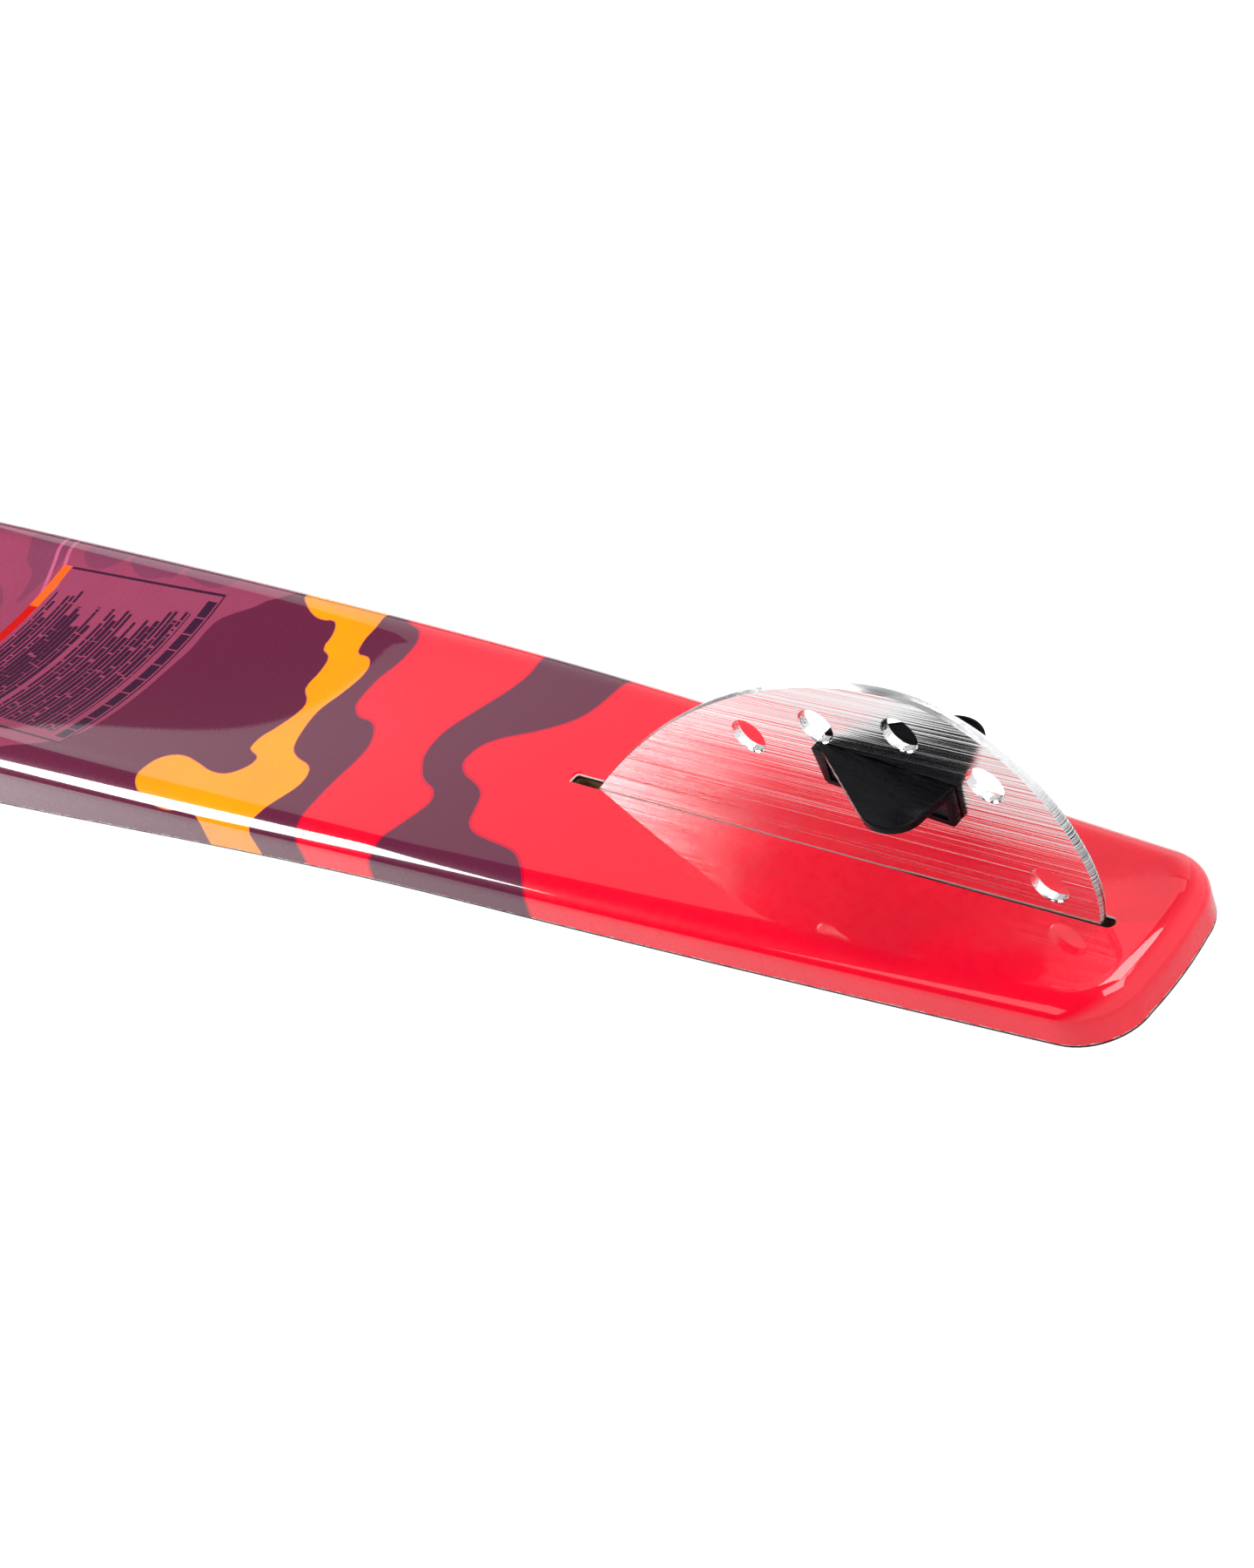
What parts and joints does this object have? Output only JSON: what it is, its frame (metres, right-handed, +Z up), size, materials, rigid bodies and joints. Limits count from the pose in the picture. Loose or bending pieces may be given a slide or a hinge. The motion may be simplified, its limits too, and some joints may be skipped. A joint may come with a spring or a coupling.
{
  "type": "slalom water ski",
  "caption": "Slalom water ski lying base up, with a drop-through fin, pitched wings and an adjustable fin block under the tail deck.",
  "frame": {"origin": "centre of the object's box, at the surface it lies on", "axes": "+X along the ski towards the tail, +Y across the ski, +Z up, away from the surface and out of the base"},
  "size_m": [1.6842, 0.15, 0.1068],
  "materials": {
    "base_laminate": "high-gloss printed base laminate under a clear layer, red, maroon, mauve and orange",
    "deck_laminate": "satin black woven-fibre deck laminate",
    "foam": "closed-cell foam core, hidden",
    "phenolic": "machined phenolic sheet, hidden",
    "insert_brass": "turned brass",
    "fin_aluminium": "brushed along the fin, bevelled rim",
    "wing_plastic": "smooth black moulded plastic",
    "block_anodised": "black anodised",
    "fastener_steel": "stainless steel"
  },
  "bodies": {
    "ski": {"adjuster_post": "block_anodised", "base_shell": "base_laminate", "block_insert_1": "insert_brass", "block_insert_2": "insert_brass", "block_insert_3": "insert_brass", "block_insert_4": "insert_brass", "block_screw_1": "fastener_steel", "block_screw_2": "fastener_steel", "block_screw_3": "fastener_steel", "block_screw_4": "fastener_steel", "fin_pad": "phenolic", "foam_core": "foam", "front_binding_plate": "phenolic", "front_insert_1": "insert_brass", "front_insert_2": "insert_brass", "front_insert_3": "insert_brass", "front_insert_4": "insert_brass", "front_insert_5": "insert_brass", "front_insert_6": "insert_brass", "post_screw_1": "fastener_steel", "post_screw_2": "fastener_steel", "rear_binding_plate": "phenolic", "rear_insert_1": "insert_brass", "rear_insert_2": "insert_brass", "rear_insert_3": "insert_brass", "rear_insert_4": "insert_brass", "top_shell": "deck_laminate"},
    "adjuster": {"adjuster_collar": "fastener_steel", "adjuster_screw": "fastener_steel"},
    "fin_block": {"block_bridge": "block_anodised", "block_cap": "block_anodised", "block_rail_left": "block_anodised", "block_rail_right": "block_anodised", "bridge_screw_left": "fastener_steel", "bridge_screw_right": "fastener_steel", "cap_screw_1": "fastener_steel", "cap_screw_2": "fastener_steel", "cap_screw_3": "fastener_steel", "cap_screw_4": "fastener_steel", "clamp_screw_1": "fastener_steel", "clamp_screw_2": "fastener_steel", "clamp_screw_3": "fastener_steel", "clamp_screw_4": "fastener_steel", "depth_screw_front": "fastener_steel", "depth_screw_rear": "fastener_steel"},
    "fin": {"fin_blade": "fin_aluminium"},
    "wings": {"wing_left": "wing_plastic", "wing_lock_nut": "fastener_steel", "wing_lock_screw": "fastener_steel", "wing_pivot_nut": "fastener_steel", "wing_pivot_screw": "fastener_steel", "wing_right": "wing_plastic"}
  },
  "joints": [
    {"name": "fore_aft_slide", "type": "slide", "parent": "ski", "child": "fin_block", "axis": [0.9986, 0, -0.0522], "range_m": [-0.006, 0.0015]},
    {"name": "adjuster_turn", "type": "hinge", "parent": "ski", "child": "adjuster", "pos_m": [0.61379, 0, 0.02844], "axis": [0.9986, 0, -0.0522], "range_deg": [-540, 2160]},
    {"name": "fin_depth_slide", "type": "slide", "parent": "fin_block", "child": "fin", "axis": [0.0522, 0, 0.9986], "range_m": [-0.002, 0.002]},
    {"name": "wing_pitch", "type": "hinge", "parent": "fin", "child": "wings", "pos_m": [0.75703, 0, 0.07876], "axis": [0, 1, 0], "range_deg": [-7, 5]}
  ],
  "couplings": [
    {"joint": "adjuster_turn", "follows": "fore_aft_slide", "rad_per_m": -6283.2}
  ]
}
